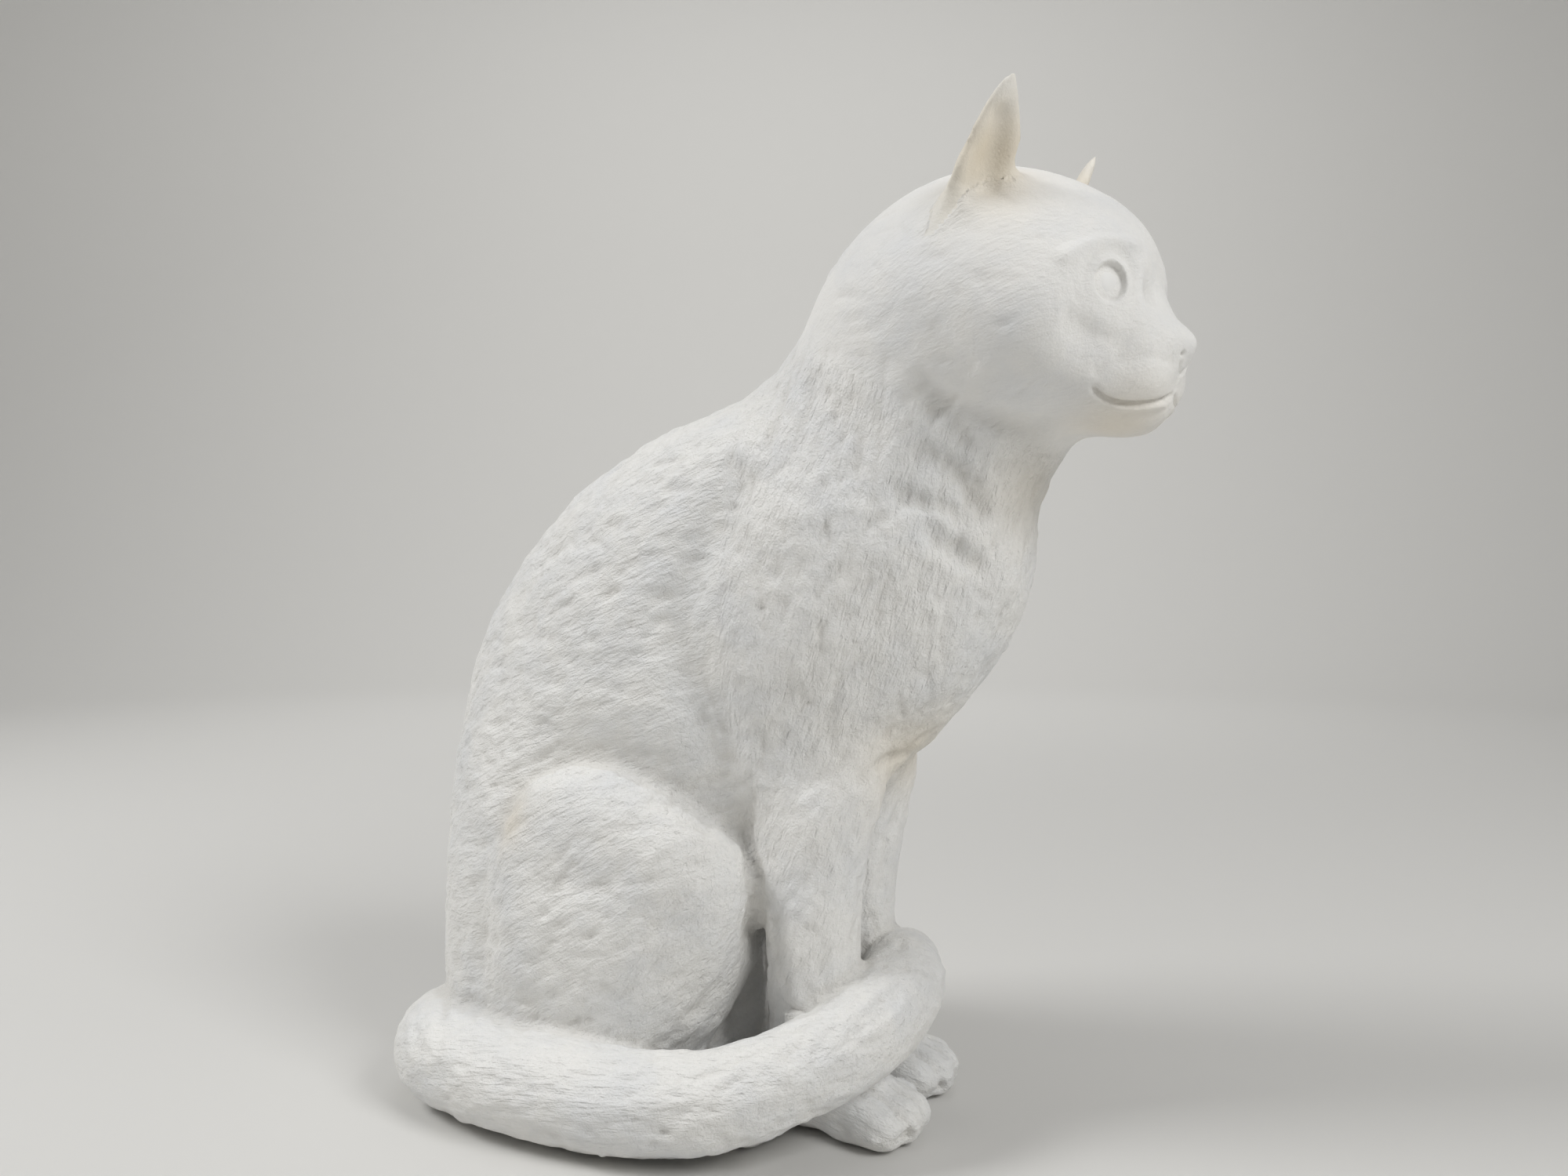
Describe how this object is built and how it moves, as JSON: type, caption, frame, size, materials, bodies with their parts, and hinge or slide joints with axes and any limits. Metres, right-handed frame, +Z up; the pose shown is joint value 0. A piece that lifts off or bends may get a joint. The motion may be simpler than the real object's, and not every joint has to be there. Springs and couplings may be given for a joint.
{
  "type": "ceramic cat figurine",
  "caption": "Hollow ceramic figurine of a cat sitting upright with its head turned a little and its tail wrapped round its feet, closed by a slab with a vent hole.",
  "frame": {"origin": "centre of the vent hole on the underside, in the plane that the figurine stands on", "axes": "+X the way the cat's chest faces, +Y to the cat's left, +Z up"},
  "size_m": [0.2474, 0.1299, 0.298],
  "materials": {
    "body_bisque": "matte white, chiselled fur strokes",
    "ear_bisque": "matte, warm beige in the hollow",
    "eye_bisque": "matte, smooth",
    "paw_bisque": "matte, lightly worn",
    "tail_bisque": "matte white, long fur strokes",
    "slab_clay": "bare fired clay"
  },
  "bodies": {
    "root": {"torso": "body_bisque", "head": "body_bisque", "left_ear": "ear_bisque", "right_ear": "ear_bisque", "left_eye": "eye_bisque", "right_eye": "eye_bisque", "left_haunch": "body_bisque", "right_haunch": "body_bisque", "left_foreleg": "body_bisque", "right_foreleg": "body_bisque", "left_forepaw": "paw_bisque", "right_forepaw": "paw_bisque", "left_hind_paw": "paw_bisque", "right_hind_paw": "paw_bisque", "tail": "tail_bisque", "base_plate": "slab_clay"}
  },
  "joints": []
}
